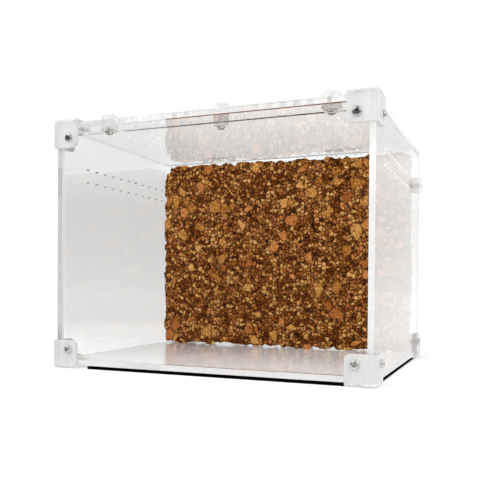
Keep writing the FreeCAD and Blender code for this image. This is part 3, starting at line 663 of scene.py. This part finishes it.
# %% [markdown]
# ## Cork granulate
#
# The back is a sheet of dark cork, ground to chips, pressed to a block and cut flat. One sees its chips:
# mostly about 4 mm wide with a few lumps of a centimetre, in browns from black to ochre, with small holes
# between them. A painted image could give the look from one side, but the cut edges and the crumbled
# outline show as well, so the chips are a rule in space. Two Voronoi textures of different size give the
# chips, and a random number of each large cell says whether it is a lump or is ground to small ones. A
# noise bends both, because chips have no straight sides. The same rule makes the colour in the material
# and the relief of the mesh, so they always fit.

# %% The rule of the chips
CHIP_SIZE = 4.1 * MM
LUMP_SIZE = 10.5 * MM
LUMP_SHARE = 0.12
CHIP_BEND = 2.0 * MM
BEND_SCALE = 0.8 / CHIP_SIZE


def cork_chips(wire, place):
    """The chips at a place: the chip's tone, hue and rise, from 0 to 1, and the way to its gap in mm."""
    bend_inputs = {"Vector": place, "Scale": BEND_SCALE, "Detail": 2.0}
    bend = wire.node("ShaderNodeTexNoise", bend_inputs, out="Color")
    bent = wire.node(
        "ShaderNodeVectorMath", {0: bend, 1: (CHIP_BEND,) * 3, 2: place}, operation="MULTIPLY_ADD"
    )

    def cells(size, kind, out):
        return wire.node("ShaderNodeTexVoronoi", {"Vector": bent, "Scale": 1 / size}, out=out, feature=kind)

    small = cells(CHIP_SIZE, "F1", "Color").axes()
    large = cells(LUMP_SIZE, "F1", "Color").axes()
    small_gap = cells(CHIP_SIZE, "DISTANCE_TO_EDGE", "Distance") * (CHIP_SIZE / MM)
    large_gap = cells(LUMP_SIZE, "DISTANCE_TO_EDGE", "Distance") * (LUMP_SIZE / MM)
    lump = large[0] > 1 - LUMP_SHARE
    tone = small[0] * (1 - lump) + (0.45 + 0.45 * large[1]) * lump
    hue = small[1] * (1 - lump) + large[2] * lump
    rise = small[2] * (1 - lump) + (0.6 + 0.4 * large[2]) * lump
    gap = small_gap * (1 - lump) + large_gap * lump
    return tone, hue, rise, gap


print(f"chips of {CHIP_SIZE / MM:.1f} mm and lumps of {LUMP_SIZE / MM:.0f} mm")

# %% [markdown]
# ### The sheet of chips
#
# The sheet starts as a box of fine squares. Each point on a face is pushed in by the relief of the chip
# under it, never out, so that the sheet stays in its place. Crumbled bites go into the outline. They fade
# over the rows of points behind the edge, because a row that moved alone would fold over its neighbours.
# The corners are cut off a little, and the upper left one is worn down more. All of that is one rule for
# every point, so it is a Geometry Nodes tree with the sizes as its inputs, and its result is turned into a
# plain mesh.

# %% The tree of the sheet
SHEET_INPUTS = (
    ("Low", "NodeSocketVector"),
    ("High", "NodeSocketVector"),
    ("Pitch", "NodeSocketFloat"),
    ("Face Relief", "NodeSocketFloat"),
    ("Side Bites", "NodeSocketFloat"),
    ("Top Bites", "NodeSocketFloat"),
    ("Corner", "NodeSocketFloat"),
    ("Worn Corner", "NodeSocketFloat"),
    ("Finish", "NodeSocketMaterial"),
)
BITE_DEPTH = 9 * MM
BITE_SCALE = 110.0
BITE_RANGE = (0.40, 0.62)
# Bites run through the thickness, so the way through it counts for less. Each side has noise of its own.
BITE_STRETCH = 0.3
SIDE_OFFSET = 0.05
SIDE_FADE = (0.2 * MM, 0.1 * MM)
HALF = (0.5, 0.5, 0.5)


def on_side(distance, half):
    """1 for a point on one of two opposite sides of a box, and 0 between them."""
    return abs(distance).between(half - SIDE_FADE[0], half - SIDE_FADE[1])


def sheet_tree():
    """The node tree that makes the cork sheet from the sizes in SHEET_INPUTS."""
    tree = bpy.data.node_groups.new("cork_sheet", "GeometryNodeTree")
    for name, kind in SHEET_INPUTS:
        tree.interface.new_socket(name, in_out="INPUT", socket_type=kind)
    tree.interface.new_socket("Mesh", in_out="OUTPUT", socket_type="NodeSocketGeometry")
    entry = tree.nodes.new("NodeGroupInput")
    given = {name: Wire(tree, entry.outputs[name]) for name, kind in SHEET_INPUTS}
    wire = Wire(tree, None)

    def vector(operation, *values):
        return wire.node("ShaderNodeVectorMath", dict(enumerate(values)), operation=operation)

    size = vector("SUBTRACT", given["High"], given["Low"])
    centre = vector("MULTIPLY", vector("ADD", given["High"], given["Low"]), HALF)
    counts = [wire.math("ROUND", side / given["Pitch"]) + 1 for side in size.axes()]
    points = {"Vertices X": counts[0], "Vertices Y": counts[1], "Vertices Z": counts[2]}
    grid = wire.node("GeometryNodeMeshCube", {0: size, **points})
    # The worn corners: every ray from the centre is shortened where it would pass the worn outline.
    point = wire.node("GeometryNodeInputPosition")
    x, y, z = point.axes()
    half_x, half_y, half_z = vector("MULTIPLY", size, HALF).axes()
    worn = (x < 0) * (z > 0)
    corner = given["Corner"] + (given["Worn Corner"] - given["Corner"]) * worn
    square = (abs(x) / half_x).at_least(abs(z) / half_z)
    cut = (abs(x) + abs(z)) / (half_x + half_z - corner)
    shrink = square / square.at_least(cut).at_least(0.001)
    worn_place = wire.node("ShaderNodeCombineXYZ", {0: x * shrink, 1: y, 2: z * shrink})
    # The relief: the point moves in from each side that it lies on.
    rise, gap = cork_chips(wire, vector("ADD", point, centre))[2:]
    crumb = 1 - rise * gap.between(0.0, 0.9)
    face = crumb * given["Face Relief"]

    def inward(distance, half, along, bites):
        """How far a point moves in from its nearer side: the chips' relief and the outline's bites."""
        side = distance.math("SIGN", distance)
        place = wire.node("ShaderNodeCombineXYZ", {0: along, 1: y * BITE_STRETCH, 2: side * SIDE_OFFSET})
        bitten = wire.node("ShaderNodeTexNoise", {"Vector": place, "Scale": BITE_SCALE, "Detail": 3.0})
        bite = bitten.between(*BITE_RANGE) * abs(distance).between(half - BITE_DEPTH, half) * bites
        return side * (on_side(distance, half) * face + bite)

    moved = {0: inward(x, half_x, z, given["Side Bites"]), 1: y.math("SIGN", y) * on_side(y, half_y) * face}
    moved[2] = inward(z, half_z, x, given["Top Bites"])
    placed = vector("SUBTRACT", worn_place, wire.node("ShaderNodeCombineXYZ", moved))
    placed = vector("ADD", placed, centre)
    shaped = wire.node("GeometryNodeSetPosition", {"Geometry": grid, "Position": placed})
    whole = wire.node("GeometryNodeRealizeInstances", {"Geometry": shaped})
    dressed = wire.node("GeometryNodeSetMaterial", {"Geometry": whole, "Material": given["Finish"]})
    leave = tree.nodes.new("NodeGroupOutput")
    tree.links.new(dressed.socket, leave.inputs["Mesh"])
    return tree


cork_tree = sheet_tree()
print("the sheet's tree has", len(cork_tree.nodes), "nodes")

# %% [markdown]
# ### Finish of the cork
#
# Cork is matt. Each chip has one of two families of brown, ochre or a redder one, and a place in it from
# dark to light. A fine noise gives the cells inside a chip, and the gaps and small holes between chips are
# painted nearly black, as their shade.

# %% The cork's colours
CORK_OCHRE = (
    (0.10, (0.028, 0.006, 0.001)),
    (0.34, (0.185, 0.045, 0.0030)),
    (0.60, (0.480, 0.168, 0.027)),
    (0.90, (1.000, 0.530, 0.165)),
)
CORK_RED = (
    (0.10, (0.022, 0.005, 0.001)),
    (0.34, (0.170, 0.036, 0.0040)),
    (0.60, (0.440, 0.128, 0.026)),
    (0.90, (0.900, 0.360, 0.110)),
)
# Painted shade: the colour of the gaps and small holes between chips.
CORK_GAP_SHADE = (0.010, 0.003, 0.0005)
CRUMB_SIZE = 1.5 * MM
PORE_SCALE = 700.0
HOLE_SCALE = 300.0
RED_SHARE = 0.45
RELIEF_DEPTH = 2 * MM


def cork_finish():
    """Matt cork, coloured by the rule of the chips."""
    material, wire, shader = new_material("cork_granulate")[:3]
    place = wire.node("ShaderNodeTexCoord", out="Object")
    tone, hue, rise, gap = cork_chips(wire, place)
    crumb_cells = wire.node("ShaderNodeTexVoronoi", {"Vector": place, "Scale": 1 / CRUMB_SIZE}, out="Color")
    crumbs = crumb_cells.axes()[0]
    pores = wire.node("ShaderNodeTexNoise", {"Vector": place, "Scale": PORE_SCALE, "Detail": 4.0})
    shade = tone * 0.58 + crumbs * 0.12 + (pores - 0.5) * 0.9 + 0.23
    ochre = wire.node("ShaderNodeValToRGB", {"Fac": shade}, stops=CORK_OCHRE)
    red = wire.node("ShaderNodeValToRGB", {"Fac": shade}, stops=CORK_RED)
    chip = ochre.blend(hue > 1 - RED_SHARE, red)
    holes = wire.node("ShaderNodeTexNoise", {"Vector": place, "Scale": HOLE_SCALE, "Detail": 2.0})
    # Painted shade: the gaps between chips and the small holes are nearly black.
    solid = gap.between(0.0, 0.65) * holes.between(0.30, 0.38)
    colour = wire.node("ShaderNodeMix", {0: solid, 6: CORK_GAP_SHADE, 7: chip}, out=2, data_type="RGBA")
    height = gap.between(0.0, 0.9) * rise + crumbs * 0.3 + pores * 0.6
    bump = wire.node("ShaderNodeBump", {"Height": height, "Strength": 1.0, "Distance": RELIEF_DEPTH})
    wire.feed(shader.inputs["Base Color"], colour)
    wire.feed(shader.inputs["Roughness"], 0.9)
    wire.feed(shader.inputs["Specular IOR Level"], 0.1)
    wire.feed(shader.inputs["Normal"], bump)
    return material


print("cork colours:", len(CORK_OCHRE), "ochre and", len(CORK_RED), "red stops")

# %% Make the sheet
CORK_PITCH = 1.25 * MM


def grown(name, tree, values):
    """The mesh that a Geometry Nodes tree makes from its named inputs."""
    host = bpy.data.objects.new(name, bpy.data.meshes.new(name))
    scene.collection.objects.link(host)
    modifier = host.modifiers.new("tree", "NODES")
    modifier.node_group = tree
    for item in tree.interface.items_tree:
        if item.item_type == "SOCKET" and item.in_out == "INPUT" and item.name in values:
            modifier[item.identifier] = values[item.name]
    host.update_tag()
    seen = host.evaluated_get(bpy.context.evaluated_depsgraph_get())
    mesh = bpy.data.meshes.new_from_object(seen)
    host.modifiers.remove(modifier)
    host.data = mesh
    return host


cork_low, cork_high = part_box("cork_wall")
cork = grown(
    "cork_sheet",
    cork_tree,
    {
        "Low": tuple(cork_low),
        "High": tuple(cork_high),
        "Pitch": CORK_PITCH,
        "Face Relief": 0.45 * MM,
        "Side Bites": 2.6 * MM,
        "Top Bites": 3.4 * MM,
        "Corner": 2.5 * MM,
        "Worn Corner": 10 * MM,
        "Finish": cork_finish(),
    },
)
for polygon in cork.data.polygons:
    polygon.use_smooth = True
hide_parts("cork_wall")
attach(cork, "case")
print("cork sheet:", len(cork.data.vertices), "points,", 2 * len(cork.data.polygons), "triangles")
